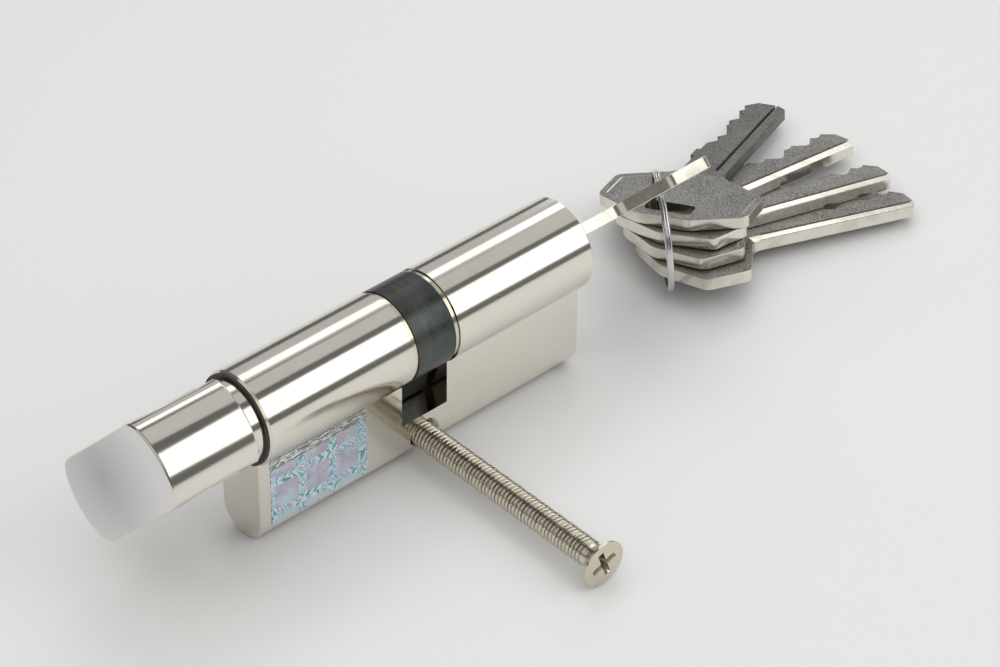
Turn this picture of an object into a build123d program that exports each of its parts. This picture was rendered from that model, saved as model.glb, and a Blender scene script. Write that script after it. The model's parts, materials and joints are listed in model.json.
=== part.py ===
from build123d import *
import math
import os

os.makedirs("parts", exist_ok=True)

# A profile lock cylinder with a thumb turn on one half and a keyed plug on the other,
# its fixing screw, the key in the plug and four spare keys on a split ring.
# Millimetres. Y is the axis of the barrel, towards the key; Z is up; the pod hangs down.
# The origin is on that axis, in the middle of the cam.

# Housing
barrel_diameter = 17.0
pod_width = 10.0
pod_depth = 24.5
knob_half = 35.5
key_half = 35.5
cam_gap = 10.0
bridge_height = 9.0
rim_chamfer = 0.35
running_fit = 0.05
face_gap = 0.08
overcut = 1.0

# Plug, pins and springs
bore_diameter = 13.0
plug_head_diameter = 14.4
plug_head_depth = 1.4
pin_count = 5
pin_pitch = 3.8
first_pin_depth = 4.5
chamber_diameter = 3.1
pin_diameter = 2.9
pin_tip_radius = 0.4
pin_base_chamfer = 0.35
shear_gap = 0.1
pin_hole_clearance = 0.2
driver_and_cut_length = 9.0
chamber_plug_length = 1.9
chamber_plug_recess = 0.4
spring_coil_radius = 1.12
spring_wire_radius = 0.17
spring_turns = 4

# Key: the cut depths set both the teeth and the lengths of the pins
cut_depths = [1.6, 2.8, 0.9, 2.2, 1.2]
cut_flat = 1.0
cut_half_angle = 48.0
key_thickness = 2.2
blade_height = 8.4
blade_length = 23.1
neck_length = 11.5
keyway_clearance = 0.08
back_groove_height = 2.4
back_groove_width = 1.2
back_groove_depth = 0.6
middle_groove_height = -0.3
middle_groove_width = 1.5
middle_groove_depth = 0.75
bow_width = 29.0
bow_length = 18.6
bow_side = 8.8
bow_end = 10.4
bow_corner_radius = 2.0
bow_end_radius = 5.0
bow_border = 1.3
bow_panel_depth = 0.12
ring_slot_length = 9.0
ring_slot_width = 3.8
ring_slot_inset = 4.1
neck_radius = 3.0
neck_blend = 3.0
shoulder_length = 3.0
shoulder_reach = 1.0
tip_bevel_front = 2.6
tip_bevel_back = 1.2

# Cam, coupler and retaining rings
cam_diameter = 16.8
cam_width = 8.1
cam_bore_diameter = 11.4
lobe_width = 8.0
lobe_reach = 15.0
lobe_corner = 1.2
drive_slot_width = 2.4
drive_slot_reach = 7.1
coupler_thickness = 2.0
coupler_fit = 0.06
retaining_ring_diameter = 16.4
retaining_ring_thickness = 0.8
ring_groove_depth = 0.5
ring_opening = 2.4

# Turn spindle and thumb turn
washer_thickness = 0.45
washer_diameter = 16.3
collar_diameter = 15.0
collar_length = 2.35
tang_diameter = 8.0
tang_length = 10.0
knob_collar_diameter = 15.2
knob_collar_length = 4.2
knob_length = 21.2
lever_span = 33.2
lever_width = 15.2
lever_neck_width = 14.2
lever_mouth_width = 15.5
waist_share = 0.35
lever_end_radius = 10.8
lever_corner = 4.2
lever_root_radius = 9.4
lever_root_length = 2.2
lever_edge = 0.45
lever_base_width = 14.6
grub_diameter = 3.0
grub_length = 3.4

# Fixing screw, M5 countersunk
screw_diameter = 4.9
screw_fit = 0.07
screw_length = 50.0
screw_head_diameter = 9.0
screw_head_rim = 0.3
screw_tip_chamfer = 0.5
screw_height = 4.5
screw_tip = -1.5
recess_span = 4.8
recess_width = 1.1
recess_depth = 2.3
recess_side_angle = 12.0
hole_countersink = 0.7

# Label, hardened pins
label_length = 20.5
label_height = 11.6
label_thickness = 0.1
label_corner = 0.6
label_front_margin = 2.2
label_under_margin = 3.7
guard_pin_diameter = 2.0
guard_pin_length = 9.0
guard_pin_spacing = 6.0
guard_pin_inset = 2.6
plug_guard_diameter = 1.5
plug_guard_place = (-3.6, 2.6)
plug_guard_length = 6.0
spring_bore_diameter = 5.2
spring_bore_depth = 6.5
coupler_spring_radius = 2.0
coupler_spring_wire = 0.25

# Split ring: it hangs in the slot of the turned key
ring_radius = 10.6
ring_wire_radius = 0.42
ring_coil_offset = 0.41
ring_heading_angle = -36.9
ring_tilt_angle = 6.4
ring_hang_angle = 82.4
ring_in_slot_ahead = -0.2583
ring_in_slot_up = -2.7164

# How the lock stands: the key is turned, and the cam is set off from it
turn_angle = 43.86
cam_offset = 30.0
cam_angle = turn_angle - cam_offset

# Spare keys: a stack on one tilt, each with the heading of its blade and the place of the
# ring's wire in its slot, ahead of the slot's middle and to its side
stack_drop = 7.2364
stack_gap = 0.1
stack_slope_x = 0.17
stack_slope_y = -0.097
spare_keys = {
    "spare_key_1": dict(heading=113.4, layer=3, wire=(1.1159, -3.3265)),
    "spare_key_2": dict(heading=89.7, layer=2, wire=(1.1002, -0.5685)),
    "spare_key_3": dict(heading=76.6, layer=1, wire=(0.9519, -1.2007)),
    "spare_key_4": dict(heading=70.7, layer=0, wire=(0.015, -2.9656)),
}

# Sizes worked out from those above
barrel_radius = barrel_diameter / 2
pod_radius = pod_width / 2
under_side = -pod_depth
bridge_top = under_side + bridge_height
bore_radius = bore_diameter / 2
plug_radius = bore_radius - running_fit
plug_head_radius = plug_head_diameter / 2
pin_radius = pin_diameter / 2
pin_rows = [key_half - first_pin_depth - pin_pitch * row for row in range(pin_count)]
shoulder_at = bow_length / 2 + neck_length
key_tip = shoulder_at + blade_length
key_middle = key_half + face_gap + shoulder_at
slot_reach = bow_length / 2 - ring_slot_inset
spigot_radius = cam_bore_diameter / 2 - running_fit
ring_inner_side = cam_width / 2 + face_gap
ring_outer_side = ring_inner_side + retaining_ring_thickness
spigot_end = coupler_thickness / 2 + face_gap
collar_start = knob_half + washer_thickness + face_gap
knob_start = collar_start + collar_length
knob_front = knob_start + knob_length
screw_axis = under_side + screw_height


def section(y, angle=0.0):
    """Plane across the barrel at y, facing the thumb turn, turned about the barrel's axis."""
    turn = math.radians(angle)
    return Plane(origin=(0, y, 0), x_dir=(math.cos(turn), 0, -math.sin(turn)), z_dir=(0, -1, 0))


def export(piece, name):
    piece.part.label = name
    export_step(piece.part, f"parts/{name}.step")


# The ring's own plane, and its centre below the point where its wire crosses the turned key
ring_turn = math.radians(ring_heading_angle)
ring_ahead = Vector(math.cos(ring_turn), math.sin(ring_turn), 0)
ring_side = ring_ahead.cross(Vector(0, 0, 1))
ring_lean = math.radians(ring_tilt_angle)
ring_up = Vector(0, 0, 1) * math.cos(ring_lean) + ring_side * math.sin(ring_lean)


def on_ring(angle):
    """Vector from the ring's centre to its wire, at an angle in radians in its own plane."""
    return (ring_ahead * math.cos(angle) + ring_up * math.sin(angle)) * ring_radius


key_crossing = Vector(0, key_middle + slot_reach + ring_in_slot_ahead, 0)
key_crossing += section(0, turn_angle).y_dir * ring_in_slot_up
ring_centre = key_crossing - on_ring(math.radians(ring_hang_angle))


# Housing: round barrel and rounded pod, one bore, a gap for the cam, pin chambers, screw hole
with BuildPart() as housing:
    with BuildSketch(section(key_half)):
        Circle(barrel_radius)
        with Locations((0, (under_side + pod_radius) / 2)):
            Rectangle(pod_width, pod_depth - pod_radius)
        with Locations((0, under_side + pod_radius)):
            Circle(pod_radius)
    extrude(amount=key_half + knob_half)
    for end in (0, -1):
        chamfer(housing.faces().sort_by(Axis.Y)[end].outer_wire().edges(), rim_chamfer)
    with BuildSketch(section(key_half)):
        Circle(bore_radius)
    extrude(amount=key_half + knob_half, mode=Mode.SUBTRACT)
    with BuildSketch(section(key_half)):
        Circle(plug_head_radius + running_fit)
    extrude(amount=plug_head_depth, mode=Mode.SUBTRACT)
    with BuildSketch(Plane.YZ):
        with Locations((0, (bridge_top + barrel_radius) / 2)):
            Rectangle(cam_gap, barrel_radius - bridge_top)
    extrude(amount=barrel_diameter, both=True, mode=Mode.SUBTRACT)
    with BuildSketch(Plane.XY.offset(under_side)):
        with Locations([(0, y) for y in pin_rows]):
            Circle(chamber_diameter / 2)
    extrude(amount=pod_depth - bore_radius + overcut, mode=Mode.SUBTRACT)
    with BuildSketch(Plane.XY.offset(under_side)):
        with Locations((0, key_half - guard_pin_inset)):
            with GridLocations(guard_pin_spacing, 1, 2, 1):
                Circle(guard_pin_diameter / 2)
    extrude(amount=guard_pin_length + chamber_plug_length, mode=Mode.SUBTRACT)
    with BuildSketch(Plane.YZ.offset(-pod_width)):
        with Locations((0, screw_axis)):
            Circle(screw_diameter / 2 + screw_fit)
    extrude(amount=2 * pod_width, mode=Mode.SUBTRACT)
    for side in (-1, 1):
        mouth = Plane(origin=(side * pod_radius, 0, screw_axis), z_dir=(-side, 0, 0))
        with BuildSketch(mouth):
            Circle(screw_diameter / 2 + screw_fit + hole_countersink)
        with BuildSketch(mouth.offset(hole_countersink)):
            Circle(screw_diameter / 2 + screw_fit)
        loft(mode=Mode.SUBTRACT)
export(housing, "housing")

# Pin stacks of the housing: driver pin, spring and the plug that closes the chamber
chamber_plug_top = under_side + chamber_plug_recess + chamber_plug_length
for row, (y, depth) in enumerate(zip(pin_rows, cut_depths), start=1):
    driver_top = -bore_radius
    driver_bottom = driver_top - (driver_and_cut_length - depth)
    with BuildPart() as driver_pin:
        with BuildSketch(Plane.XY.offset(driver_bottom)):
            with Locations((0, y)):
                Circle(pin_radius)
        extrude(amount=driver_top - driver_bottom)
        chamfer(driver_pin.edges().filter_by(GeomType.CIRCLE), pin_base_chamfer)
    export(driver_pin, f"driver_pin_{row}")

    spring_height = driver_bottom - chamber_plug_top - 2 * spring_wire_radius - shear_gap
    with BuildPart() as pin_spring:
        with BuildLine() as coil:
            Helix(
                pitch=spring_height / spring_turns,
                height=spring_height,
                radius=spring_coil_radius,
                center=(0, y, chamber_plug_top + spring_wire_radius + shear_gap / 2),
            )
        with BuildSketch(Plane(origin=coil.line @ 0, z_dir=coil.line % 0)):
            RegularPolygon(spring_wire_radius, 6)
        sweep(path=coil.line, is_frenet=True)
    export(pin_spring, f"pin_spring_{row}")

    with BuildPart() as chamber_plug:
        with BuildSketch(Plane.XY.offset(chamber_plug_top - chamber_plug_length)):
            with Locations((0, y)):
                Circle(chamber_diameter / 2)
        extrude(amount=chamber_plug_length)
    export(chamber_plug, f"chamber_plug_{row}")

# Hardened pins against drilling, beside the first chamber
with BuildPart() as guard_pins:
    with BuildSketch(Plane.XY.offset(under_side + chamber_plug_length)):
        with Locations((0, key_half - guard_pin_inset)):
            with GridLocations(guard_pin_spacing, 1, 2, 1):
                Circle(guard_pin_diameter / 2)
    extrude(amount=guard_pin_length)
export(guard_pins, "guard_pins")

# Foil label on the side of the pod
with BuildPart() as label:
    with BuildSketch(Plane.YZ.offset(pod_radius)):
        with Locations((
            -knob_half + label_front_margin + label_length / 2,
            under_side + label_under_margin + label_height / 2,
        )):
            RectangleRounded(label_length, label_height, label_corner)
    extrude(amount=label_thickness)
export(label, "label")


def blade_section(grow):
    """Sketch shapes of the blade: a bar with one groove on each face, or its keyway."""
    Rectangle(key_thickness + 2 * grow, blade_height + 2 * grow)
    with Locations((key_thickness / 2 + grow, back_groove_height)):
        Rectangle(2 * back_groove_depth, back_groove_width - 2 * grow, mode=Mode.SUBTRACT)
    with Locations((-key_thickness / 2 - grow, middle_groove_height)):
        Rectangle(2 * middle_groove_depth, middle_groove_width - 2 * grow, mode=Mode.SUBTRACT)


# Key plug: head, body in the bore, ring groove and spigot in the cam
with BuildPart() as key_plug:
    with BuildSketch(Plane.YZ):
        with BuildLine():
            Polyline(
                (spigot_end, 0),
                (spigot_end, spigot_radius),
                (ring_inner_side, spigot_radius),
                (ring_inner_side, spigot_radius - ring_groove_depth),
                (ring_outer_side, spigot_radius - ring_groove_depth),
                (ring_outer_side, plug_radius),
                (key_half - plug_head_depth + face_gap, plug_radius),
                (key_half - plug_head_depth + face_gap, plug_head_radius),
                (key_half, plug_head_radius),
                (key_half, 0),
                close=True,
            )
        make_face()
    revolve(axis=Axis.Y)
    with BuildSketch(section(key_half, turn_angle)):
        blade_section(keyway_clearance)
    extrude(amount=key_half, mode=Mode.SUBTRACT)
    with BuildSketch(section(key_half, turn_angle)):
        with Locations(plug_guard_place):
            Circle(plug_guard_diameter / 2)
    extrude(amount=plug_guard_length, mode=Mode.SUBTRACT)
    for y, depth in zip(pin_rows, cut_depths):
        hole_end = -blade_height / 2 + depth + pin_hole_clearance
        with BuildSketch(Plane(origin=section(y, turn_angle).from_local_coords((0, -plug_radius, 0)),
                               x_dir=(0, 1, 0), z_dir=section(y, turn_angle).y_dir)):
            Circle(pin_radius + running_fit)
        extrude(amount=plug_radius + hole_end, mode=Mode.SUBTRACT)
export(key_plug, "key_plug")

# Key pins: each stands on its cut of the key and ends just inside the shear line
for row, (y, depth) in enumerate(zip(pin_rows, cut_depths), start=1):
    cut_floor = -blade_height / 2 + depth - face_gap / 2
    pin_base = -math.sqrt(plug_radius ** 2 - (pin_radius - pin_base_chamfer) ** 2)
    pin_cone = pin_radius - pin_tip_radius
    across = Plane(origin=(0, y, 0), x_dir=section(0, turn_angle).x_dir, z_dir=(0, -1, 0))
    with BuildPart() as key_pin:
        with BuildSketch(across):
            with BuildLine():
                Polyline(
                    (0, pin_base),
                    (pin_radius - pin_base_chamfer, pin_base),
                    (pin_radius, pin_base + pin_base_chamfer),
                    (pin_radius, cut_floor - pin_cone),
                    (pin_tip_radius, cut_floor),
                    (0, cut_floor),
                    close=True,
                )
            make_face()
        revolve(axis=Axis((0, y, 0), across.y_dir))
    export(key_pin, f"key_pin_{row}")


def mirrored(corners):
    """Corners of one quarter, repeated round the four quarters of an outline."""
    lower = [(-x, -y) for x, y in corners]
    upper = [(x, y) for x, y in corners]
    return lower + [(x, -y) for x, y in reversed(corners)] + upper + [(-x, y) for x, y in reversed(corners)]


# Eight-sided bow of a key, its middle at the origin of the sketch
bow_corners = mirrored([(bow_length / 2, bow_end / 2), (bow_side / 2, bow_width / 2)])

# Outline of bow and neck: the bow's slanted sides run on until they meet the blade
bow_slant = (bow_length - bow_side) / (bow_width - bow_end)
neck_meet = bow_length / 2 + (bow_end - blade_height) / 2 * bow_slant
neck_end = bow_length / 2 + neck_blend
key_corners = [
    (-bow_length / 2, -bow_end / 2),
    (-bow_side / 2, -bow_width / 2),
    (bow_side / 2, -bow_width / 2),
    (neck_meet, -blade_height / 2),
    (neck_end, -blade_height / 2),
    (neck_end, blade_height / 2),
    (neck_meet, blade_height / 2),
    (bow_side / 2, bow_width / 2),
    (-bow_side / 2, bow_width / 2),
    (-bow_length / 2, bow_end / 2),
]
corner_tolerance = 0.01


def make_key(plane):
    """One key: plane.x runs to the tip, plane.y to the back of the blade."""
    bow_edge = bow_length / 2
    half_blade = blade_height / 2
    with BuildPart() as key:
        with BuildSketch(plane) as outline:
            with BuildLine():
                Polyline(*key_corners, close=True)
            make_face()
            corners = outline.vertices().group_by(Axis.X)
            fillet(corners[0], bow_end_radius)
            corners = outline.vertices().group_by(Axis.Y)
            fillet(corners[0] + corners[-1], bow_corner_radius)
            corners = [
                corner for corner in outline.vertices()
                if abs(corner.X - neck_meet) < corner_tolerance and abs(corner.Y) < bow_end
            ]
            fillet(corners, neck_radius)
        extrude(amount=key_thickness / 2, both=True)
        root = Plane(
            origin=plane.from_local_coords((bow_edge, 0, 0)), x_dir=-plane.z_dir, z_dir=plane.x_dir
        )
        with BuildSketch(root):
            blade_section(0)
        extrude(amount=key_tip - bow_edge)
        with BuildSketch(plane):
            with Locations((shoulder_at - shoulder_length / 2, -half_blade)):
                Rectangle(shoulder_length, 2 * shoulder_reach)
        extrude(amount=key_thickness / 2 - middle_groove_depth / 2, both=True)
        for side in (1, -1):
            face = Plane(
                origin=plane.from_local_coords((0, 0, side * key_thickness / 2)),
                x_dir=plane.x_dir,
                z_dir=-side * plane.z_dir,
            )
            with BuildSketch(face):
                with BuildLine():
                    Polyline(*bow_corners, close=True)
                make_face()
                offset(amount=-bow_border, kind=Kind.INTERSECTION)
            extrude(amount=bow_panel_depth, mode=Mode.SUBTRACT)
        with BuildSketch(plane):
            with Locations((ring_slot_inset - bow_edge, 0)):
                RectangleRounded(ring_slot_width, ring_slot_length, ring_slot_width / 4)
        extrude(amount=key_thickness, both=True, mode=Mode.SUBTRACT)
        for pin_at, depth in zip(pin_rows, cut_depths):
            cut_at = key_middle - pin_at
            spread = cut_flat / 2 + (depth + overcut) * math.tan(math.radians(cut_half_angle))
            with BuildSketch(plane):
                with BuildLine():
                    Polyline(
                        (cut_at - cut_flat / 2, depth - half_blade),
                        (cut_at + cut_flat / 2, depth - half_blade),
                        (cut_at + spread, -overcut - half_blade),
                        (cut_at - spread, -overcut - half_blade),
                        close=True,
                    )
                make_face()
            extrude(amount=key_thickness, both=True, mode=Mode.SUBTRACT)
        for side, bevel in ((-1, tip_bevel_front), (1, tip_bevel_back)):
            with BuildSketch(plane):
                with BuildLine():
                    Polyline(
                        (key_tip + overcut, side * (half_blade - bevel - overcut)),
                        (key_tip + overcut, side * (half_blade + overcut)),
                        (key_tip - bevel - overcut, side * (half_blade + overcut)),
                        close=True,
                    )
                make_face()
            extrude(amount=key_thickness, both=True, mode=Mode.SUBTRACT)
    return key


# The key in the plug, and the spare keys on the ring
key = make_key(
    Plane(origin=(0, key_middle, 0), x_dir=(0, -1, 0), z_dir=-section(0, turn_angle).x_dir)
)
export(key, "key")
up = Vector(-stack_slope_x, -stack_slope_y, 1).normalized()
ring_reach = ring_radius * math.hypot(up.dot(ring_ahead), up.dot(ring_up))
steepest = math.atan2(up.dot(ring_up), up.dot(ring_ahead))
for name, place in spare_keys.items():
    level = place["layer"] * (key_thickness + stack_gap) - stack_drop
    crossing = ring_centre + on_ring(steepest + math.acos(level / ring_reach))
    heading = math.radians(place["heading"])
    ahead = Vector(math.cos(heading), math.sin(heading), 0)
    ahead = (ahead - up * ahead.dot(up)).normalized()
    wire_ahead, wire_side = place["wire"]
    middle = crossing + ahead * (slot_reach - wire_ahead) - ahead.cross(up) * wire_side
    spare_key = make_key(Plane(origin=middle, x_dir=ahead, z_dir=-up))
    export(spare_key, name)

# Hardened pin in the face of the plug, beside the keyway
with BuildPart() as plug_guard_pin:
    with BuildSketch(section(key_half, turn_angle)):
        with Locations(plug_guard_place):
            Circle(plug_guard_diameter / 2)
    extrude(amount=plug_guard_length)
export(plug_guard_pin, "plug_guard_pin")

# Retaining rings of plug and spindle, each open like a circlip
for name, start in (("plug_ring", ring_outer_side - face_gap / 2), ("turn_ring", -ring_inner_side)):
    with BuildPart() as retaining_ring:
        with BuildSketch(section(start, turn_angle)):
            Circle(retaining_ring_diameter / 2)
            Circle(spigot_radius - ring_groove_depth + running_fit, mode=Mode.SUBTRACT)
            with Locations((0, -retaining_ring_diameter / 2)):
                Rectangle(ring_opening, retaining_ring_diameter, mode=Mode.SUBTRACT)
        extrude(amount=retaining_ring_thickness - face_gap / 2)
    export(retaining_ring, name)

# Cam: ring with one lobe, bored for the spigots and slotted for the drive lugs
with BuildPart() as cam:
    with BuildSketch(section(cam_width / 2, cam_angle)) as cam_outline:
        with Locations((0, -lobe_reach / 2)):
            Rectangle(lobe_width, lobe_reach)
        fillet(cam_outline.vertices().group_by(Axis.Y)[0], lobe_corner)
        Circle(cam_diameter / 2)
        Circle(cam_bore_diameter / 2, mode=Mode.SUBTRACT)
        Rectangle(2 * drive_slot_reach, drive_slot_width, mode=Mode.SUBTRACT)
    extrude(amount=cam_width)
export(cam, "cam")

# Coupler: disc with two lugs in the cam's slots and a tongue in the keyway behind the key
coupler_face = coupler_thickness / 2
tongue_end = key_middle - key_tip - face_gap
with BuildPart() as coupler:
    with BuildSketch(section(coupler_face, cam_angle)):
        Circle(cam_bore_diameter / 2 - coupler_fit)
        Rectangle(2 * (drive_slot_reach - coupler_fit), drive_slot_width - 2 * coupler_fit)
    extrude(amount=coupler_thickness)
    with BuildSketch(section(tongue_end, turn_angle)):
        blade_section(0)
    extrude(amount=tongue_end - coupler_face)
export(coupler, "coupler")

# Turn spindle: tang in the thumb turn, collar, body in the bore, spigot with drive lugs
with BuildPart() as turn_spindle:
    with BuildSketch(Plane.YZ):
        with BuildLine():
            Polyline(
                (-spigot_end, 0),
                (-spigot_end, spigot_radius),
                (-ring_inner_side, spigot_radius),
                (-ring_inner_side, spigot_radius - ring_groove_depth),
                (-ring_outer_side, spigot_radius - ring_groove_depth),
                (-ring_outer_side, plug_radius),
                (-collar_start, plug_radius),
                (-collar_start, collar_diameter / 2),
                (-knob_start, collar_diameter / 2),
                (-knob_start, tang_diameter / 2),
                (-knob_start - tang_length, tang_diameter / 2),
                (-knob_start - tang_length, 0),
                close=True,
            )
        make_face()
    revolve(axis=Axis.Y)
    with BuildSketch(section(-spigot_end, cam_angle)):
        Rectangle(2 * (drive_slot_reach - coupler_fit), drive_slot_width - 2 * coupler_fit)
    extrude(amount=cam_width / 2 - spigot_end)
    with BuildSketch(section(-spigot_end)):
        Circle(spring_bore_diameter / 2)
    extrude(amount=spring_bore_depth, mode=Mode.SUBTRACT)
export(turn_spindle, "turn_spindle")

# Spring that holds the coupler towards the key
coupler_spring_length = spring_bore_depth + spigot_end - coupler_face - 2 * coupler_spring_wire - shear_gap
with BuildPart() as coupler_spring:
    with BuildLine() as coil:
        Helix(
            pitch=coupler_spring_length / spring_turns,
            height=coupler_spring_length,
            radius=coupler_spring_radius,
            center=(0, -coupler_face - coupler_spring_wire - shear_gap / 2, 0),
            direction=(0, -1, 0),
        )
    with BuildSketch(Plane(origin=coil.line @ 0, z_dir=coil.line % 0)):
        RegularPolygon(coupler_spring_wire, 6)
    sweep(path=coil.line, is_frenet=True)
export(coupler_spring, "coupler_spring")

# Black washer under the thumb turn's collar
with BuildPart() as end_washer:
    with BuildSketch(section(-knob_half)):
        Circle(washer_diameter / 2)
        Circle(bore_radius + running_fit, mode=Mode.SUBTRACT)
    extrude(amount=washer_thickness)
export(end_washer, "end_washer")

# Thumb turn: an oval lever with hollowed sides on a round collar
lever_start = knob_start + knob_collar_length
lever_bulge = lever_span / 2 - lever_end_radius
lever_shoulder = lever_bulge + math.sqrt(lever_end_radius ** 2 - (lever_width / 2) ** 2)
waist = -(lever_start + waist_share * (knob_front - lever_start))
flank = Plane(origin=(0, 0, 0), x_dir=section(0, turn_angle).x_dir, z_dir=section(0, turn_angle).y_dir)
with BuildPart() as thumb_turn:
    with BuildSketch(section(-lever_start, turn_angle)) as lever_outline:
        with BuildLine():
            Line((-lever_width / 2, -lever_shoulder), (-lever_width / 2, lever_shoulder))
            ThreePointArc(
                (-lever_width / 2, lever_shoulder), (0, lever_span / 2), (lever_width / 2, lever_shoulder)
            )
            Line((lever_width / 2, lever_shoulder), (lever_width / 2, -lever_shoulder))
            ThreePointArc(
                (lever_width / 2, -lever_shoulder), (0, -lever_span / 2), (-lever_width / 2, -lever_shoulder)
            )
        make_face()
        fillet(lever_outline.vertices(), lever_corner)
    extrude(amount=knob_front - lever_start)
    lever_ends = thumb_turn.faces().sort_by(Axis.Y)
    fillet(lever_ends[0].edges() + lever_ends[-1].edges(), lever_edge)
    with BuildSketch(Plane.YZ):
        with BuildLine():
            Polyline(
                (-lever_start, 0),
                (-lever_start, lever_root_radius),
                (-lever_start + lever_root_length, knob_collar_diameter / 2),
                (-lever_start + lever_root_length, 0),
                close=True,
            )
        make_face()
    revolve(axis=Axis.Y)
    with BuildSketch(flank):
        with BuildLine():
            Line((-lever_mouth_width / 2, -knob_front), (lever_mouth_width / 2, -knob_front))
            ThreePointArc(
                (lever_mouth_width / 2, -knob_front),
                (lever_neck_width / 2, waist),
                (lever_base_width / 2, -lever_start),
            )
            Line((lever_base_width / 2, -lever_start), (-lever_base_width / 2, -lever_start))
            ThreePointArc(
                (-lever_base_width / 2, -lever_start),
                (-lever_neck_width / 2, waist),
                (-lever_mouth_width / 2, -knob_front),
            )
        make_face()
        with Locations((0, -lever_start + lever_root_length / 2)):
            Rectangle(knob_collar_diameter, lever_root_length)
    extrude(amount=lever_span, both=True, mode=Mode.INTERSECT)
    with BuildSketch(section(-knob_start)):
        Circle(knob_collar_diameter / 2)
    extrude(amount=knob_collar_length)
    with BuildSketch(section(-knob_start)):
        Circle(tang_diameter / 2 + running_fit)
    extrude(amount=tang_length + face_gap, mode=Mode.SUBTRACT)
    grub_at = Plane(
        origin=(0, -knob_start - knob_collar_length / 2, 0), z_dir=-section(0, turn_angle).y_dir
    )
    with BuildSketch(grub_at):
        Circle(grub_diameter / 2)
    extrude(amount=knob_collar_diameter, mode=Mode.SUBTRACT)
export(thumb_turn, "thumb_turn")

# Grub screw that holds the thumb turn on the tang
with BuildPart() as grub_screw:
    with BuildSketch(grub_at.offset(tang_diameter / 2)):
        Circle(grub_diameter / 2)
    extrude(amount=grub_length)
export(grub_screw, "grub_screw")

# Fixing screw: countersunk head with a cross recess, its shank through the bridge
screw_head_face = screw_tip + screw_length
screw_radius = screw_diameter / 2
head_radius = screw_head_diameter / 2
with BuildPart() as fixing_screw:
    with BuildSketch(Plane(origin=(0, 0, screw_axis), x_dir=(1, 0, 0), z_dir=(0, -1, 0))):
        with BuildLine():
            Polyline(
                (screw_tip, 0),
                (screw_tip, screw_radius - screw_tip_chamfer),
                (screw_tip + screw_tip_chamfer, screw_radius),
                (screw_head_face - screw_head_rim - head_radius + screw_radius, screw_radius),
                (screw_head_face - screw_head_rim, head_radius),
                (screw_head_face, head_radius),
                (screw_head_face, 0),
                close=True,
            )
        make_face()
    revolve(axis=Axis((0, 0, screw_axis), (1, 0, 0)))
    with BuildSketch(Plane(origin=(screw_head_face, 0, screw_axis), z_dir=(-1, 0, 0))):
        Rectangle(recess_span, recess_width)
        Rectangle(recess_width, recess_span)
    extrude(amount=recess_depth, taper=recess_side_angle, mode=Mode.SUBTRACT)
export(fixing_screw, "fixing_screw")

# Split ring: two turns of round wire side by side, through the slots of all five keys
ring_axis = ring_ahead.cross(ring_up)
with BuildPart() as key_ring:
    with BuildSketch(Plane(origin=ring_centre, x_dir=ring_ahead, z_dir=ring_ahead.cross(ring_axis))):
        with Locations((ring_radius, -ring_coil_offset), (ring_radius, ring_coil_offset)):
            Circle(ring_wire_radius)
    revolve(axis=Axis(ring_centre, ring_axis))
export(key_ring, "key_ring")
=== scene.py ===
import json
import math

import bmesh
import bpy
from mathutils import Matrix, Vector, noise


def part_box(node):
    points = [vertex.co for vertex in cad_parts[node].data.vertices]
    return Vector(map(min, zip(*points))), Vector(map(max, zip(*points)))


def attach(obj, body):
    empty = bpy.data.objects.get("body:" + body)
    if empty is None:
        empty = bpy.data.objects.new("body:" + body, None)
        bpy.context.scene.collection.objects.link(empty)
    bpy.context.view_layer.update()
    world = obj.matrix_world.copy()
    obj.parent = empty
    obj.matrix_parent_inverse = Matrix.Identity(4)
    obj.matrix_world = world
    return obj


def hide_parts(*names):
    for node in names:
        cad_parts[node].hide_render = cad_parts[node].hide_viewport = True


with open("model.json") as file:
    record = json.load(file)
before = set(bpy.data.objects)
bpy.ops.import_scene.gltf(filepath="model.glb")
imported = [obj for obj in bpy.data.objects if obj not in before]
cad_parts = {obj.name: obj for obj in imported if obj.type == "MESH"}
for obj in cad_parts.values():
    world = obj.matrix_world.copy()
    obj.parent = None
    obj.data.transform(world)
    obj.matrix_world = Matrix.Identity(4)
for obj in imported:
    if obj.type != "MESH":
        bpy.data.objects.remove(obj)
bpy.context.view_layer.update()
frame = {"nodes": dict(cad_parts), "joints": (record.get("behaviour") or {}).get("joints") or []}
nodes = frame["nodes"]
joints = {j["name"]: j for j in frame["joints"]}
print("frame loaded,", len(nodes), "nodes")


# shader maths as plain expressions

class Wire:
    def __init__(self, paint, socket):
        self.paint = paint
        self.socket = socket

    def calc(self, operation, *others):
        return self.paint.node("ShaderNodeMath", {"operation": operation}, self, *others)

    def swapped(self, operation, other):
        return self.paint.node("ShaderNodeMath", {"operation": operation}, other, self)

    def __add__(self, other):
        return self.calc("ADD", other)

    def __radd__(self, other):
        return self.calc("ADD", other)

    def __sub__(self, other):
        return self.calc("SUBTRACT", other)

    def __rsub__(self, other):
        return self.swapped("SUBTRACT", other)

    def __mul__(self, other):
        return self.calc("MULTIPLY", other)

    def __rmul__(self, other):
        return self.calc("MULTIPLY", other)

    def __truediv__(self, other):
        return self.calc("DIVIDE", other)

    def __rtruediv__(self, other):
        return self.swapped("DIVIDE", other)

    def clamp(self):
        return self.paint.node("ShaderNodeClamp", {}, self)

    def above(self, level, gain):
        return ((self - level) * gain).clamp()


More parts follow.
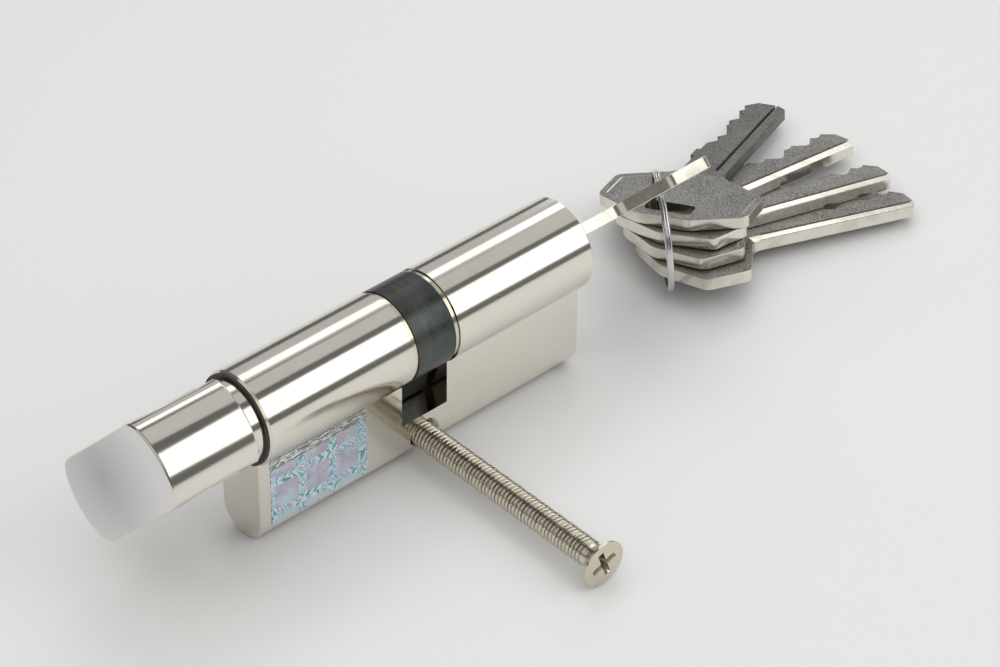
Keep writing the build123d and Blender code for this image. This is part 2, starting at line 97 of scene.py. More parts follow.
class Paint:
    def __init__(self, name):
        self.material = bpy.data.materials.new(name)
        self.material.use_nodes = True
        self.tree = self.material.node_tree
        self.tree.nodes.clear()
        self.coords = self.node("ShaderNodeTexCoord", {}, take="Object")

    def node(self, kind, settings, *values, take=0, **named):
        made = self.tree.nodes.new(kind)
        for key, value in settings.items():
            if key == "stops":
                self.setStops(made.color_ramp, value)
            else:
                setattr(made, key, value)
        pairs = [(made.inputs[place], value) for place, value in enumerate(values)]
        pairs += [(made.inputs[key.replace("_", " ")], value) for key, value in named.items()]
        for socket, value in pairs:
            if isinstance(value, Wire):
                self.tree.links.new(value.socket, socket)
            elif value is not None:
                socket.default_value = value
        return Wire(self, made.outputs[take]) if made.outputs else None

    def setStops(self, ramp, stops):
        while len(ramp.elements) < len(stops):
            ramp.elements.new(0.5)
        for element, (place, colour) in zip(ramp.elements, stops):
            element.position = place
            element.color = colour

    def axis(self, letter):
        return self.node("ShaderNodeSeparateXYZ", {}, self.coords, take="XYZ".index(letter))

    def grey(self, low, high, mask):
        return self.node("ShaderNodeMapRange", {}, mask, 0.0, 1.0, low, high)

    def mix(self, amount, first, second):
        unused = [None] * 5  # the Mix node's number and vector sockets
        return self.node("ShaderNodeMix", {"data_type": "RGBA"}, amount, *unused, first, second, take=2)

    def noise(self, grain, coords=None):
        scale, detail, rough = grain
        return self.node("ShaderNodeTexNoise", {}, Vector=coords or self.coords, Scale=scale,
                         Detail=detail, Roughness=rough)

    def stretched(self, scale, turn=(0, 0, 0)):
        return self.node("ShaderNodeMapping", {}, Vector=self.coords, Rotation=turn, Scale=scale)

    def bump(self, height, strength, distance):
        return self.node("ShaderNodeBump", {}, Height=height, Strength=strength, Distance=distance)

    def finish(self, **sockets):
        self.node("ShaderNodeOutputMaterial", {}, self.node("ShaderNodeBsdfPrincipled", {}, **sockets))
        return self.material


# materials: a noise is scale, detail and roughness, a mask level and gain, relief strength and depth

nickelLook = {
    "colour": (0.80, 0.762, 0.69, 1), "tarnish": (0.70, 0.655, 0.57, 1), "rough": (0.07, 0.17),
    "lines": (1.0, 4.0, 0.6), "clouds": (90.0, 4.0, 0.6), "specks": (2600.0, 2.0, 0.5),
    "stains": (0.52, 5.0), "stained": 0.35, "relief": (0.05, 0.0001),
}


def polishedNickel(name, look, streaks):
    p = Paint(name)
    lines = p.noise(look["lines"], p.stretched(streaks))
    clouds = p.noise(look["clouds"])
    specks = p.noise(look["specks"])
    colour = p.mix(clouds.above(*look["stains"]) * look["stained"], look["colour"], look["tarnish"])
    rough = p.grey(*look["rough"], (lines * 0.6 + clouds * 0.5).clamp())
    return p.finish(Base_Color=colour, Metallic=1.0, Roughness=rough,
                    Normal=p.bump(lines * 0.5 + specks * 0.3, *look["relief"]))


# painted light: away from its middle the face turns from its colour to the lighter edge colour, as light
# falls across it
satinLook = {
    "colour": (0.54, 0.535, 0.54, 1), "edge": (0.85, 0.84, 0.83, 1), "rough": (0.42, 0.52),
    "grain": (5200.0, 3.0, 0.6), "clouds": (70.0, 3.0, 0.5), "relief": (0.35, 0.00006),
    "middle": (-0.0042, -0.0596, -0.0008), "paintedLightFade": 58.0, "cloudy": 0.3, "paintedLightOffset": 0.12, "metallic": 0.85,
}


def satinFace(name, look):
    p = Paint(name)
    grain = p.noise(look["grain"])
    clouds = p.noise(look["clouds"])
    away = p.node("ShaderNodeVectorMath", {"operation": "DISTANCE"}, p.coords, look["middle"], take="Value")
    # painted light: lighter towards the edges and away from the middle, broken up by clouds
    edge = (away * look["paintedLightFade"] + clouds * look["cloudy"] - look["paintedLightOffset"]).clamp()
    return p.finish(Base_Color=p.mix(edge, look["colour"], look["edge"]), Metallic=look["metallic"],
                    Roughness=p.grey(*look["rough"], clouds), Normal=p.bump(grain, *look["relief"]))


oxideLook = {
    "dark": (0.05, 0.05, 0.048, 1), "sheen": (0.10, 0.135, 0.128, 1), "brown": (0.13, 0.11, 0.095, 1),
    "worn": (0.24, 0.21, 0.17, 1), "rough": (0.24, 0.42), "relief": (0.18, 0.0002), "metallic": 0.85,
    "rings": (1.0, 5.0, 0.65), "turned": (60, 2600, 60), "clouds": (160.0, 4.0, 0.6),
    "patches": (75.0, 2.0, 0.5), "browned": (0.45, 5.0), "lit": (0.3125, 2.4), "rubbed": (0.6, 6.0),
}


def blackOxide(name, look):
    p = Paint(name)
    rings = p.noise(look["rings"], p.stretched(look["turned"]))
    clouds = p.noise(look["clouds"])
    patches = p.noise(look["patches"])
    tint = p.mix(patches.above(*look["browned"]), look["sheen"], look["brown"])
    sheen = p.mix(clouds.above(*look["lit"]), look["dark"], tint)
    colour = p.mix(rings.above(*look["rubbed"]) * 0.5, sheen, look["worn"])
    return p.finish(Base_Color=colour, Metallic=look["metallic"], Roughness=p.grey(*look["rough"], clouds),
                    Normal=p.bump(rings + clouds * 0.4, *look["relief"]))


keyLook = {
    "colour": (0.78, 0.745, 0.67, 1), "dark": (0.50, 0.45, 0.36, 1), "rough": (0.12, 0.28),
    "cast": (900.0, 4.0, 0.6), "clouds": (140.0, 4.0, 0.55), "grime": (0.50, 4.5), "grimy": 0.8,
    "relief": (0.12, 0.00015),
}


def keyPlate(name, look):
    p = Paint(name)
    cast = p.noise(look["cast"])
    clouds = p.noise(look["clouds"])
    colour = p.mix(clouds.above(*look["grime"]) * look["grimy"], look["colour"], look["dark"])
    rough = p.grey(*look["rough"], (clouds * 0.7 + cast * 0.4).clamp())
    return p.finish(Base_Color=colour, Metallic=1.0, Roughness=rough, Normal=p.bump(cast, *look["relief"]))


panelLook = {
    "colour": (0.40, 0.39, 0.365, 1), "dark": (0.10, 0.097, 0.09, 1), "rough": (0.38, 0.55),
    "grain": (2400.0, 4.0, 0.7), "grit": 3200.0, "clouds": (180.0, 3.0, 0.5), "speckle": (0.52, 4.0),
    "relief": (0.9, 0.0002), "metallic": 0.9,
}
# a darker copy of the panel: painted shade for the top key's blade
paintedShadePanelLook = dict(panelLook, colour=(0.27, 0.265, 0.25, 1), dark=(0.07, 0.068, 0.065, 1))


def keyPanel(name, look):
    p = Paint(name)
    grain = p.noise(look["grain"])
    grit = p.node("ShaderNodeTexVoronoi", {"feature": "F1"}, Vector=p.coords, Scale=look["grit"])
    clouds = p.noise(look["clouds"])
    speckle = (grain * 0.7 + grit * 0.5 + clouds * 0.25).above(*look["speckle"])
    return p.finish(Base_Color=p.mix(speckle, look["dark"], look["colour"]),
                    Metallic=look["metallic"], Roughness=p.grey(*look["rough"], grain),
                    Normal=p.bump(grain * 0.7 + grit * 0.6, *look["relief"]))


mottleLook = {
    "mottle": (4.0, 0.6), "shade": 0.8, "smoother": 0.05, "rougher": 0.06, "relief": (0.08, 0.0001),
}


def plainMetal(name, colour, rough, scale=400.0, look=mottleLook):
    p = Paint(name)
    mottle = p.noise((scale, *look["mottle"]))
    darker = tuple(c * look["shade"] for c in colour[:3]) + (1,)
    return p.finish(Base_Color=p.mix(mottle, darker, colour), Metallic=1.0,
                    Roughness=p.grey(rough - look["smoother"], rough + look["rougher"], mottle),
                    Normal=p.bump(mottle, *look["relief"]))


washerLook = {
    "dark": (0.012, 0.012, 0.012, 1), "light": (0.03, 0.028, 0.026, 1), "rough": (0.35, 0.5),
    "mottle": (700.0, 3.0, 0.6), "relief": (0.2, 0.0001),
}


def blackPlastic(name, look):
    p = Paint(name)
    mottle = p.noise(look["mottle"])
    return p.finish(Base_Color=p.mix(mottle, look["dark"], look["light"]),
                    Roughness=p.grey(*look["rough"], mottle), Normal=p.bump(mottle, *look["relief"]))


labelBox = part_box("label")
labelMiddle = (labelBox[0] + labelBox[1]) / 2
foilLook = {
    "tile": (labelBox[1].y - labelBox[0].y) / 3.2, "square": 0.37, "sway": (0.0009, 0.0007),
    "stripe": 3700.0, "lean": 0.8, "ripple": 18.0, "hue": (0.75, 1.1, 0.36), "rough": (0.2, 0.4),
    "wobble": (320.0, 3.0, 0.6), "clouds": (210.0, 3.0, 0.6), "cloudy": (0.3 / 1.1, 2.2),
    "icy": (0.52, 7.0), "iced": 0.8, "pale": -0.0160, "paler": 280.0, "paled": 0.75,
    "wrinkle": (1.0, 4.0, 0.6), "creases": (300, 420, 900), "crossed": (0.5, 0, 0), "raised": 0.12,
    "relief": (0.5, 0.0004), "metallic": 0.6, "coat": 0.5, "coatRough": 0.06,
    "violet": (0.44, 0.43, 0.54, 1), "lilac": (0.66, 0.62, 0.74, 1), "ice": (0.62, 0.74, 0.80, 1),
    "strokes": [(0.0, (0.20, 0.18, 0.16, 1)), (0.25, (0.16, 0.52, 0.52, 1)), (0.45, (0.46, 0.80, 0.82, 1)),
                (0.65, (0.90, 0.95, 0.97, 1)), (0.85, (0.70, 0.78, 0.90, 1)), (1.0, (0.50, 0.38, 0.74, 1))],
}


def iridescentFoil(name, look):
    p = Paint(name)
    tile = look["tile"]
    wobble = p.noise(look["wobble"])
    height = p.axis("Z")
    along = p.axis("Y") + wobble * look["sway"][0] - labelMiddle.y + tile / 2
    up = height + wobble * look["sway"][1] - labelMiddle.z + tile / 2
    # squares in a grid, framed by slanted strokes that change sides from tile to tile
    row = (along / tile).calc("FLOOR") + (up / tile).calc("FLOOR")
    slant = (row * 0.5).calc("FRACT") * 4.0 - 1.0  # one or minus one
    inY = (along / tile).calc("FRACT") - 0.5
    inZ = (up / tile).calc("FRACT") - 0.5
    square = inY.calc("ABSOLUTE").calc("MAXIMUM", inZ.calc("ABSOLUTE")).calc("LESS_THAN", look["square"])
    phase = (along * slant + up * look["lean"]) * look["stripe"] + wobble * look["ripple"]
    feather = phase.calc("SINE") * 0.5 + 0.5
    broad, fine, start = look["hue"]
    hue = (feather * broad + wobble * fine - start).clamp()
    strokes = p.node("ShaderNodeValToRGB", {"stops": look["strokes"]}, hue)
    plain = p.mix(p.noise(look["clouds"]).above(*look["cloudy"]), look["violet"], look["lilac"])
    plain = p.mix(wobble.above(*look["icy"]) * look["iced"], plain, look["ice"])
    lower = ((look["pale"] - height) * look["paler"]).clamp() * look["paled"]
    plain = p.mix(lower, plain, look["ice"])
    wrinkle = p.noise(look["wrinkle"], p.stretched(look["creases"], look["crossed"]))
    return p.finish(Base_Color=p.mix(square, strokes, plain), Metallic=look["metallic"],
                    Roughness=p.grey(*look["rough"], wrinkle), Coat_Weight=look["coat"],
                    Coat_Roughness=look["coatRough"],
                    Normal=p.bump(wrinkle + feather * look["raised"], *look["relief"]))


# painted light: the dark shade colour stands in for the dark reflection on the film, and the bright lines
# along its creases are painted highlights
filmLook = {
    "paintedCreaseGlint": (0.93, 0.95, 0.95, 1), "shade": (0.13, 0.14, 0.13, 1), "alpha": (0.45, 0.95), "rough": 0.2,
    "fold": (1.0, 3.0, 0.65), "creases": (300, 900, 3600), "crossed": (0.75, 0, 0), "lines": (0.44, 9.0),
    "relief": (0.5, 0.0002), "metallic": 0.85,
}


def clearFilm(name, look):
    p = Paint(name)
    creases = p.noise(look["fold"], p.stretched(look["creases"], look["crossed"]))
    # painted highlights along the creases, more opaque than the darkened ground
    line = creases.above(*look["lines"])
    return p.finish(Base_Color=p.mix(line, look["shade"], look["paintedCreaseGlint"]), Metallic=look["metallic"],
                    Roughness=look["rough"], Alpha=p.grey(*look["alpha"], line),
                    Normal=p.bump(creases, *look["relief"]))


nickel = polishedNickel("polishedNickel", nickelLook, (240, 8, 240))
knobNickel = polishedNickel("thumbTurnNickel", nickelLook, (200, 40, 200))
satin = satinFace("satinFace", satinLook)
oxide = blackOxide("blackOxide", oxideLook)
keyMetal = keyPlate("keyNickel", keyLook)
panelMetal = keyPanel("bowPanel", panelLook)
paintedShadePanel = keyPanel("bowPanelPaintedShade", paintedShadePanelLook)
# the ridge gets a paler copy of the key colour: painted highlight along the bow's raised line
paintedHighlightRidge = plainMetal("bowRidgePaintedHighlight", (0.93, 0.89, 0.80, 1), 0.42)
brass = plainMetal("turnedBrass", (0.80, 0.62, 0.34, 1), 0.28)
plugMetal = plainMetal("plugNickel", (0.76, 0.72, 0.62, 1), 0.2)
steel = plainMetal("hardSteel", (0.42, 0.42, 0.43, 1), 0.3)
ringNickel = plainMetal("retainingRing", (0.80, 0.74, 0.60, 1), 0.16)
wireSteel = plainMetal("ringWire", (0.76, 0.76, 0.76, 1), 0.12, 900.0)
screwMetal = plainMetal("screwNickel", (0.76, 0.70, 0.58, 1), 0.18, 700.0)
blackRing = blackPlastic("blackWasher", washerLook)
foil = iridescentFoil("labelFoil", foilLook)
film = clearFilm("labelFilm", filmLook)
print("materials made")


# smooth copies of the frame's nodes

copyShape = {"weld": 2e-7, "sharp": 32.0}


def newPiece(name, mesh):
    piece = bpy.data.objects.new(name, mesh)
    bpy.context.scene.collection.objects.link(piece)
    return piece


def standIn(piece, node, body, slot):
    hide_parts(node)
    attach(piece, body)


def smoothCopy(name, node, materials, pick=None, shape=None):
    mesh = bpy.data.meshes.new(name)
    bm = bmesh.new()
    bm.from_mesh(nodes[node].data)
    bmesh.ops.remove_doubles(bm, verts=bm.verts, dist=copyShape["weld"])
    if shape:
        shape(bm)
        bm.normal_update()
    for face in bm.faces:
        face.smooth = True
        face.material_index = pick(face) if pick else 0
    bm.to_mesh(mesh)
    bm.free()
    if "custom_normal" in mesh.attributes:
        mesh.attributes.remove(mesh.attributes["custom_normal"])
    for material in materials:
        mesh.materials.append(material)
    mesh.set_sharp_from_angle(angle=math.radians(copyShape["sharp"]))
    return newPiece(name, mesh)


plainPieces = {
    "barrelAndPod": ("housing", "housing", "nickel", nickel),
    "collarWasher": ("end_washer", "housing", "black_washer", blackRing),
    "camRing": ("cam", "cam", "cam_steel", oxide),
    "plugRing": ("plug_ring", "plug", "spring_steel", ringNickel),
    "turnRing": ("turn_ring", "turn", "spring_steel", ringNickel),
    "plugBody": ("key_plug", "plug", "plug_brass", plugMetal),
    "spindleCollar": ("turn_spindle", "turn", "nickel", knobNickel),
}
for name, (node, body, slot, material) in plainPieces.items():
    standIn(smoothCopy(name, node, [material]), node, body, slot)

knobShape = {"front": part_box("thumb_turn")[0].y, "facing": 0.9, "depth": 2e-4}


def isKnobFront(face):
    near = face.calc_center_median().y < knobShape["front"] + knobShape["depth"]
    return int(near and face.normal.y < -knobShape["facing"])


knob = smoothCopy("thumbTurn", "thumb_turn", [knobNickel, satin], isKnobFront)
standIn(knob, "thumb_turn", "turn", "nickel")
print("cylinder dressed")


# keys: lengths are measured from the bow's middle, ahead along the blade and across it

keyShape = {
    "half": 0.0011, "panel": 0.00012, "bow": 0.0093, "joint": 0.0006, "blade": 0.0004,
    "strip": 0.0030, "wider": 0.0006, "teeth": 0.0018, "ridge": 0.984, "rim": 0.00011,
    "flat": 0.95, "wall": 0.2, "slant": 0.3, "near": 5e-6, "merge": 0.008,
    "middle": 0.05638, "turned": 43.86,
    "spares": {1: ((-0.00891, 0.07456), 113.4), 2: ((-0.0090, 0.07333), 89.7),
               3: ((-0.00628, 0.07249), 76.6), 4: ((-0.00218, 0.0715), 70.7)},
}


def dressKey(name, node, body, middle, ahead, normal, metals):
    k = keyShape
    side = ahead.cross(normal)
    deck = k["half"] - k["panel"]

    def place(point):
        off = point - middle
        return off.dot(ahead), off.dot(side), abs(off.dot(normal))

    def isRim(edge):
        leans = sorted(abs(face.normal.dot(normal)) for face in edge.link_faces)
        outer = min(place(vert.co)[2] for vert in edge.verts) > k["half"] - k["near"]
        return outer and leans[0] < k["wall"] and leans[1] > k["flat"]

    def pick(face):
        along, across, off = place(face.calc_center_median())
        lean = abs(face.normal.dot(normal))
        blade = along > k["bow"] + k["blade"]
        if blade and len(metals) > 3:
            return 3
        if not blade and k["slant"] < lean < k["flat"] and off < k["half"]:
            return 2
        strip = blade and across > k["strip"] - k["wider"] - 2 * k["near"]
        teeth = blade and across < k["teeth"]
        return int((lean > k["flat"] and not strip) or teeth)

    def crease(bm, point, across):
        everything = bm.verts[:] + bm.edges[:] + bm.faces[:]
        bmesh.ops.bisect_plane(bm, geom=everything, plane_co=point, plane_no=across)

    def shape(bm):
        crease(bm, middle + ahead * (k["bow"] + k["joint"]), ahead)
        crease(bm, middle + side * k["strip"], side)
        for vert in bm.verts:
            along, across, off = place(vert.co)
            if along > k["bow"] and abs(across - k["strip"]) < 4 * k["near"]:
                vert.co -= side * k["wider"]  # the polished strip along the back is wide
            step = [e for e in vert.link_edges if abs(e.calc_length() - k["panel"]) < k["near"]]
            if step and abs(off - deck) < k["near"]:
                inward = middle - vert.co
                inward -= normal * inward.dot(normal)
                vert.co += inward * (1 - k["ridge"])  # slants the wall of the bow's panel
        bm.normal_update()
        for face in bm.faces:
            face.material_index = pick(face)
        bmesh.ops.dissolve_limit(bm, angle_limit=k["merge"], verts=bm.verts[:], edges=bm.edges[:],
                                 delimit={"MATERIAL"})
        rims = [edge for edge in bm.edges if len(edge.link_faces) == 2 and isRim(edge)]
        bmesh.ops.bevel(bm, geom=rims, offset=k["rim"], segments=1, profile=0.5, affect="EDGES")

    standIn(smoothCopy(name, node, metals, pick, shape), node, body, "key_nickel")


turned = math.radians(keyShape["turned"])
acrossFlat = Vector((math.cos(turned), 0, -math.sin(turned)))
bowMetals = [keyMetal, panelMetal, paintedHighlightRidge]
bowMiddle = Vector((0, keyShape["middle"], 0))
dressKey("turnedKey", "key", "plug", bowMiddle, Vector((0, -1, 0)), acrossFlat, bowMetals)
for n, ((x, y), heading) in keyShape["spares"].items():
    hinge = joints[f"spare_key_{n}_swing"]
    normal = Vector(hinge["axis"])
    normal *= 1 if normal.z > 0 else -1
    ahead = Vector((math.cos(math.radians(heading)), math.sin(math.radians(heading)), 0))
    ahead = (ahead - normal * ahead.dot(normal)).normalized()
    rise = normal.dot(Vector(hinge["pos_m"]) - Vector((x, y, 0))) / normal.z
    # painted shade: the top key's blade takes the darker panel copy
    metals = bowMetals + [paintedShadePanel] if n == 1 else bowMetals  # the top key's blade lies in shade
    spare = f"spare_key_{n}"
    dressKey(f"spareKey{n}", spare, spare, Vector((x, y, rise)), ahead, normal, metals)
print("keys dressed")


# node trees that grow a piece

def add(tree, kind, settings, *values, **named):
    made = tree.nodes.new(kind)
    for key, value in settings.items():
        setattr(made, key, value)
    pairs = list(zip(made.inputs, values))
    pairs += [(made.inputs[key.replace("_", " ")], value) for key, value in named.items()]
    for socket, value in pairs:
        if isinstance(value, bpy.types.NodeSocket):
            tree.links.new(value, socket)
        else:
            socket.default_value = value
    return made.outputs[0] if made.outputs else None


def openTree(name, sizes):
    tree = bpy.data.node_groups.new(name, "GeometryNodeTree")
    for key in sizes:
        tree.interface.new_socket(key, in_out="INPUT", socket_type="NodeSocketFloat")
    tree.interface.new_socket("Geometry", in_out="OUTPUT", socket_type="NodeSocketGeometry")
    return tree, tree.nodes.new("NodeGroupInput").outputs


def closeTree(tree, geometry, material):
    smooth = add(tree, "GeometryNodeSetShadeSmooth", {}, Geometry=geometry, Shade_Smooth=True)
    real = add(tree, "GeometryNodeRealizeInstances", {}, smooth)
    painted = add(tree, "GeometryNodeSetMaterial", {}, Geometry=real, Material=material)
    add(tree, "NodeGroupOutput", {}, painted)
    return tree


def helix(tree, resolution, radius, height, rounds):
    return add(tree, "GeometryNodeCurveSpiral", {}, Resolution=resolution, Rotations=rounds,
               Start_Radius=radius, End_Radius=radius, Height=height)


def tube(tree, curve, resolution, radius):
    profile = add(tree, "GeometryNodeCurvePrimitiveCircle", {"mode": "RADIUS"},
                  Resolution=resolution, Radius=radius)
    return add(tree, "GeometryNodeCurveToMesh", {}, Curve=curve, Profile_Curve=profile, Fill_Caps=True)


def grown(name, tree, sizes, place):
    holder = newPiece(name, bpy.data.meshes.new(name))
    grower = holder.modifiers.new("grow", "NODES")
    grower.node_group = tree
    for item in tree.interface.items_tree:
        if item.item_type == "SOCKET" and item.in_out == "INPUT":
            grower[item.identifier] = sizes[item.name]
    plain = bpy.data.meshes.new_from_object(holder.evaluated_get(bpy.context.evaluated_depsgraph_get()))
    holder.modifiers.remove(grower)
    plain.transform(place)
    holder.data = plain
    return holder


# fixing screw: head from the frame, core and thread from a node tree

screwLook = {
    "core": 0.00202, "crest": 0.00244, "pitch": 0.0008, "neck": 0.0452, "sunk": 0.0002,
    "head": 0.925, "turned": 20.0, "arm": 0.0028, "skin": 2e-5, "spread": 0.16,
    "steps": 28, "sides": 4, "around": 40,
}
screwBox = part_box("fixing_screw")
screwAxis = (screwBox[0].z + screwBox[1].z) / 2
screwTip = screwBox[0].x


def threadTree():
    tree, ins = openTree("threadTree", ("Core", "Crest", "Pitch", "Length"))
    turns = add(tree, "ShaderNodeMath", {"operation": "DIVIDE"}, ins["Length"], ins["Pitch"])
    rise = add(tree, "ShaderNodeMath", {"operation": "SUBTRACT"}, ins["Crest"], ins["Core"])
    half = add(tree, "ShaderNodeMath", {"operation": "MULTIPLY"}, ins["Length"], 0.5)
    # a ridge of four sides, half sunk in the core, follows the helix
    coil = helix(tree, screwLook["steps"], ins["Core"], ins["Length"], turns)
    thread = tube(tree, coil, screwLook["sides"], rise)
    core = add(tree, "GeometryNodeMeshCylinder", {}, Vertices=screwLook["around"], Radius=ins["Core"],
               Depth=ins["Length"])
    lifted = add(tree, "GeometryNodeTransform", {}, Geometry=core,
                 Translation=add(tree, "ShaderNodeCombineXYZ", {}, Z=half))
    joined = add(tree, "GeometryNodeJoinGeometry", {}, thread)
    tree.links.new(lifted, joined.node.inputs[0])
    return closeTree(tree, joined, screwMetal)


def merge(name, pieces, material):
    bm = bmesh.new()
    for piece in pieces:
        bm.from_mesh(piece.data)
    for face in bm.faces:
        face.material_index = 0
    mesh = bpy.data.meshes.new(name)
    bm.to_mesh(mesh)
    bm.free()
    mesh.materials.append(material)
    for piece in pieces:
        bpy.data.objects.remove(piece)
    return newPiece(name, mesh)


def screwHead(look):
    head = smoothCopy("screwHead", "fixing_screw", [screwMetal])
    bm = bmesh.new()
    bm.from_mesh(head.data)
    everything = bm.verts[:] + bm.edges[:] + bm.faces[:]
    cut = bmesh.ops.bisect_plane(bm, geom=everything, plane_co=(look["neck"], 0, 0), plane_no=(1, 0, 0),
                                 clear_inner=True)
    bmesh.ops.edgeloop_fill(bm, edges=[e for e in cut["geom_cut"] if isinstance(e, bmesh.types.BMEdge)])
    for vert in bm.verts:
        spread = vert.co - Vector((vert.co.x, 0, screwAxis))
        if vert.co.x > screwBox[1].x - look["skin"] and spread.length < look["arm"]:
            vert.co += spread * look["spread"]  # a wide cross recess
    turn = Matrix.Rotation(math.radians(look["turned"]), 4, "X")
    narrow = Matrix.Diagonal((1, look["head"], look["head"], 1))
    there, back = Matrix.Translation((0, 0, -screwAxis)), Matrix.Translation((0, 0, screwAxis))
    bmesh.ops.transform(bm, matrix=back @ turn @ narrow @ there, verts=bm.verts)
    bm.to_mesh(head.data)
    bm.free()
    return head


toScrew = Matrix.Translation((screwTip, 0, screwAxis)) @ Matrix.Rotation(math.pi / 2, 4, "Y")
shank = grown("screwShank", threadTree(), {
    "Core": screwLook["core"], "Crest": screwLook["crest"], "Pitch": screwLook["pitch"],
    "Length": screwLook["neck"] - screwTip + screwLook["sunk"],
}, toScrew)
screw = merge("fixingScrew", [screwHead(screwLook), shank], screwMetal)
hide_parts("fixing_screw")
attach(screw, "screw")
print("screw threaded")


# split ring: two turns of wire

ringLook = {
    "radius": 0.0106, "wire": 0.00040, "step": 0.00084, "rounds": 1.93, "start": 2.6,
    "steps": 64, "sides": 12,
}


def ringTree():
    tree, ins = openTree("ringTree", ("Radius", "Wire", "Step", "Rounds"))
    coil = helix(tree, ringLook["steps"], ins["Radius"], ins["Step"], ins["Rounds"])
    return closeTree(tree, tube(tree, coil, ringLook["sides"], ins["Wire"]), wireSteel)


ringHinge = joints["ring_turn"]
ringPlace = (Matrix.Translation(Vector(ringHinge["pos_m"]))
             @ Vector(ringHinge["axis"]).normalized().to_track_quat("Z", "Y").to_matrix().to_4x4()
             @ Matrix.Translation((0, 0, -ringLook["step"] / 2))
             @ Matrix.Rotation(ringLook["start"], 4, "Z"))
splitRing = grown("splitRing", ringTree(), {
    "Radius": ringLook["radius"], "Wire": ringLook["wire"], "Step": ringLook["step"],
    "Rounds": ringLook["rounds"],
}, ringPlace)
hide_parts("key_ring")
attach(splitRing, "ring")
print("split ring wound")


# clear wrinkled film between the label and the barrel

filmShape = {
    "low": -0.0092, "high": -0.0072, "back": -0.0333, "front": -0.0128, "side": 0.00502,
    "fold": 0.00014, "folds": (1400, 900, 500), "seed": 0.3, "steps": 120, "rows": 12,
}


def wrinkledFilm(name, shape):
    points, faces = [], []
    alongY, alongZ, slant = shape["folds"]
    rows = shape["rows"]
    for i in range(shape["steps"] + 1):
        for j in range(rows + 1):
            y = shape["back"] + (shape["front"] - shape["back"]) * i / shape["steps"]
            z = shape["low"] + (shape["high"] - shape["low"]) * j / rows
            fold = 0.5 + 0.5 * noise.noise(Vector((y * alongY, z * alongZ + y * slant, shape["seed"])))
            points.append((shape["side"] + shape["fold"] * fold, y, z))
            if i and j:
                k = i * (rows + 1) + j
                faces.append((k - rows - 2, k - 1, k, k - rows - 1))
    mesh = bpy.data.meshes.new(name)
    mesh.from_pydata(points, [], faces)
    mesh.shade_smooth()
    mesh.materials.append(film)
    return newPiece(name, mesh)


filmPiece = wrinkledFilm("labelFilm", filmShape)
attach(filmPiece, "housing")
print("film laid")


# what stays as the frame has it

def paintNode(node, material):
    data = nodes[node].data
    data.materials.clear()
    data.materials.append(material)


for node in nodes:
    if node.startswith(("driver_pin", "chamber_plug", "key_pin")):
        paintNode(node, brass)
    elif node.startswith(("pin_spring", "coupler", "guard_pins", "plug_guard", "grub")):
        paintNode(node, steel)
paintNode("label", foil)
print("frame nodes painted")


# floor, light and camera

floorLook = {"colour": (0.80, 0.80, 0.79, 1), "rough": 0.55, "reach": 1.6, "level": -0.0245}


def paleFloor(name, look):
    mesh = bpy.data.meshes.new(name)
    far = look["reach"]
    corners = [(x, y, look["level"]) for x, y in ((-far, -far), (far, -far), (far, far), (-far, far))]
    mesh.from_pydata(corners, [], [(0, 1, 2, 3)])
    mesh.materials.append(Paint(name).finish(Base_Color=look["colour"], Roughness=look["rough"]))
    return newPiece(name, mesh)


floor = paleFloor("paleFloor", floorLook)

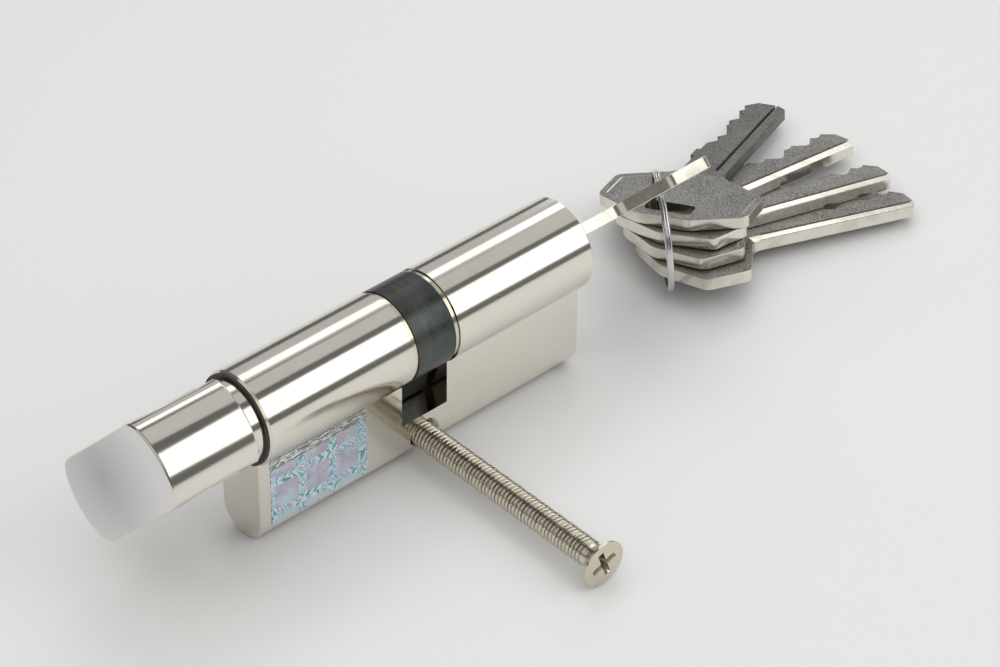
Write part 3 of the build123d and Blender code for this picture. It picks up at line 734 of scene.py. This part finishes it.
lightLook = {
    "rightBox": {"azimuth": 129, "elevation": 31, "size": (1.0, 0.66), "level": 1.35},
    "leftBox": {"azimuth": -131, "elevation": 35, "size": (1.0, 0.78), "level": 0.40},
    "leftCore": {"azimuth": -137, "elevation": 43, "size": (1.0, 0.25), "level": 0.95, "away": 0.87},
    "topBox": {"azimuth": -177.6, "elevation": 57.5, "size": (1.0, 0.45), "level": 0.46},
    "keyBox": {"azimuth": -131, "elevation": 17, "size": (0.22, 0.26), "level": 1.25,
               "aim": (-0.01, 0.098, -0.02), "away": 0.86},
    "frontBox": {"azimuth": 4, "elevation": 38, "size": (0.8, 1.3), "level": 0.5},
    "softFill": {"azimuth": 20, "elevation": 78, "size": (1.5, 1.5), "level": 1.0, "seen": False},
}
worldLook = {"grey": (0.14, 0.14, 0.14, 1)}

world = bpy.data.worlds.new("studio")
bpy.context.scene.world = world
world.use_nodes = True
world.node_tree.nodes["Background"].inputs[0].default_value = worldLook["grey"]


def direction(azimuth, elevation):
    level = math.cos(elevation)
    return Vector((level * math.sin(azimuth), -level * math.cos(azimuth), math.sin(elevation)))


def facing(target, towards, distance):
    aim = towards.to_track_quat("Z", "Y").to_matrix().to_4x4()
    return Matrix.Translation(Vector(target) + distance * towards) @ aim


def alongBarrel(target, towards, distance):
    along = (Vector((0, 1, 0)) - towards * towards.y).normalized()
    turned = Matrix((along, towards.cross(along), towards)).transposed().to_4x4()
    return Matrix.Translation(Vector(target) + distance * towards) @ turned


def softBox(name, azimuth, elevation, size, level, seen=True, aim=(0.01, 0.012, 0.0), away=0.9):
    lamp = bpy.data.lights.new(name, "AREA")
    lamp.shape = "RECTANGLE"
    lamp.size, lamp.size_y = size
    lamp.energy = level * size[0] * size[1] * math.pi  # level is how bright the box itself looks
    box = newPiece(name, lamp)
    box.visible_glossy = seen
    towards = direction(math.radians(azimuth), math.radians(elevation))
    box.matrix_world = alongBarrel(aim, towards, away)  # long side lies along the barrel


for name, look in lightLook.items():
    softBox(name, **look)

viewLook = {
    "azimuth": 0.818, "elevation": 0.667, "distance": 0.567, "roll": 0.014,
    "target": (0.010585, 0.011805, -0.001237), "sensor": 36.0, "widths": 3.420, "nearest": 0.01,
}
camera = bpy.data.cameras.new("camera")
camera.sensor_width = viewLook["sensor"]
camera.lens = viewLook["sensor"] * viewLook["widths"]  # focal length in widths of the picture
camera.clip_start = viewLook["nearest"]
viewer = newPiece("camera", camera)
towards = direction(viewLook["azimuth"], viewLook["elevation"])
roll = Matrix.Rotation(viewLook["roll"], 4, "Z")
viewer.matrix_world = facing(viewLook["target"], towards, viewLook["distance"]) @ roll
bpy.context.scene.camera = viewer
bpy.context.scene.view_settings.view_transform = "Standard"
print("stage set")
